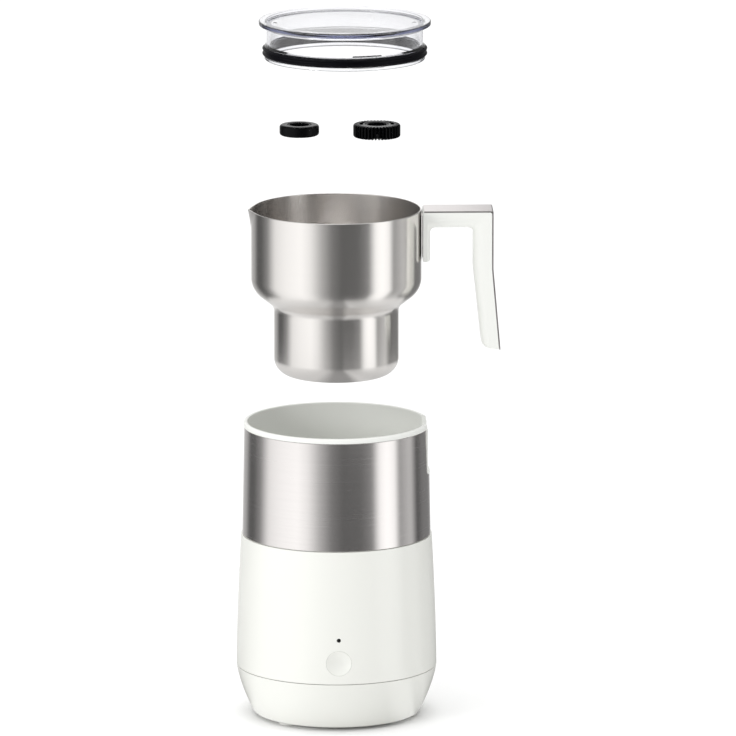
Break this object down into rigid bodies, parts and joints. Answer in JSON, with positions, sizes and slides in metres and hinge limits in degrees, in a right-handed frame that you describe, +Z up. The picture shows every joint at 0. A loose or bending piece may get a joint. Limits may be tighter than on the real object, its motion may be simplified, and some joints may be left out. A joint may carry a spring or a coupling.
{
  "type": "milk frother",
  "caption": "Milk frother taken apart: round induction base with steel band, stepped jug with angular handle, ring whisks and clear lid.",
  "frame": {"origin": "middle of the base's flat underside, on the upright axis of the base and jug; the feet reach 2 mm below it", "axes": "+Z up, +X towards the jug's handle, -Y towards the start button"},
  "size_m": [0.1643, 0.125, 0.4392],
  "materials": {
    "white_shell": "gloss moulded",
    "white_trim": "satin moulded",
    "foot_rubber": "matt moulded",
    "brushed_band": "brushed round",
    "jug_steel": "satin polished",
    "clear_plastic": "clear polished",
    "gasket_rubber": "satin",
    "whisk_plastic": "gloss",
    "plated_steel": "bright plated",
    "dark_plastic": "matt moulded",
    "coil_copper": "enamelled winding",
    "ferrite": "sintered matt",
    "circuit_board": "solder resist",
    "lamp_lens": "smoked clear"
  },
  "bodies": {
    "base": {"bottom_cover": "white_shell", "upper_housing": "white_shell", "steel_band": "brushed_band", "well_liner": "white_trim", "cord_gland": "white_trim", "foot_1": "foot_rubber", "foot_2": "foot_rubber", "foot_3": "foot_rubber", "cover_screw_1": "plated_steel", "cover_screw_2": "plated_steel", "cover_screw_3": "plated_steel", "chassis_plate": "dark_plastic", "motor_can": "plated_steel", "motor_bracket": "plated_steel", "motor_screw_1": "plated_steel", "motor_screw_2": "plated_steel", "shaft_bearing": "plated_steel", "coil_former": "dark_plastic", "induction_coil": "coil_copper", "ferrite_sleeve": "ferrite", "thermal_sensor": "plated_steel", "power_board": "circuit_board", "supply_capacitor": "dark_plastic", "supply_transformer": "ferrite", "control_board": "circuit_board", "tact_switch": "dark_plastic", "status_lamp": "lamp_lens", "light_pipe": "lamp_lens"},
    "button": {"start_button": "white_shell"},
    "drive_rotor": {"motor_shaft": "plated_steel", "magnet_rotor": "dark_plastic", "rotor_magnet_1": "plated_steel", "rotor_magnet_2": "plated_steel", "rotor_magnet_3": "plated_steel", "rotor_magnet_4": "plated_steel"},
    "jug": {"jug_body": "jug_steel", "whisk_spindle": "jug_steel", "handle_body": "white_trim", "handle_strip": "brushed_band", "handle_bracket": "jug_steel", "handle_screw_1": "plated_steel", "handle_screw_2": "plated_steel"},
    "lid": {"lid_dish": "clear_plastic", "lid_gasket": "gasket_rubber"},
    "froth_bush": {"froth_whisk_bush": "whisk_plastic"},
    "froth_whisk": {"froth_whisk_ring": "whisk_plastic", "froth_whisk_magnet_1": "plated_steel", "froth_whisk_magnet_2": "plated_steel"},
    "stir_bush": {"stir_whisk_bush": "whisk_plastic"},
    "stir_whisk": {"stir_whisk_ring": "whisk_plastic", "stir_whisk_magnet_1": "plated_steel", "stir_whisk_magnet_2": "plated_steel"}
  },
  "joints": [
    {"name": "button_press", "type": "slide", "parent": "base", "child": "button", "axis": [0, 1, 0], "range_m": [0, 0.001], "stiffness_N_per_m": 1500},
    {"name": "drive_spin", "type": "hinge", "parent": "base", "child": "drive_rotor", "pos_m": [0, 0, 0.0725], "axis": [0, 0, 1], "continuous": true},
    {"name": "jug_lift", "type": "slide", "parent": "base", "child": "jug", "axis": [0, 0, 1], "range_m": [-0.1322, 0]},
    {"name": "lid_lift", "type": "slide", "parent": "jug", "child": "lid", "axis": [0.0463, 0, 0.9989], "range_m": [-0.11552, 0]},
    {"name": "froth_lift", "type": "slide", "parent": "jug", "child": "froth_bush", "axis": [0.1732, 0.1348, 0.9756], "range_m": [-0.14841, 0]},
    {"name": "stir_lift", "type": "slide", "parent": "jug", "child": "stir_bush", "axis": [-0.1568, -0.1351, 0.9783], "range_m": [-0.148, 0]},
    {"name": "froth_spin", "type": "hinge", "parent": "froth_bush", "child": "froth_whisk", "pos_m": [0.0257, 0.02, 0.3643], "axis": [0, 0, 1], "continuous": true},
    {"name": "stir_spin", "type": "hinge", "parent": "stir_bush", "child": "stir_whisk", "pos_m": [-0.0232, -0.02, 0.372], "axis": [0, 0, 1], "continuous": true}
  ],
  "couplings": [
    {"joint": "froth_lift", "follows": "lid_lift", "ratio": 1.2847},
    {"joint": "stir_lift", "follows": "lid_lift", "ratio": 1.2811},
    {"joint": "froth_spin", "follows": "drive_spin", "ratio": 1}
  ]
}
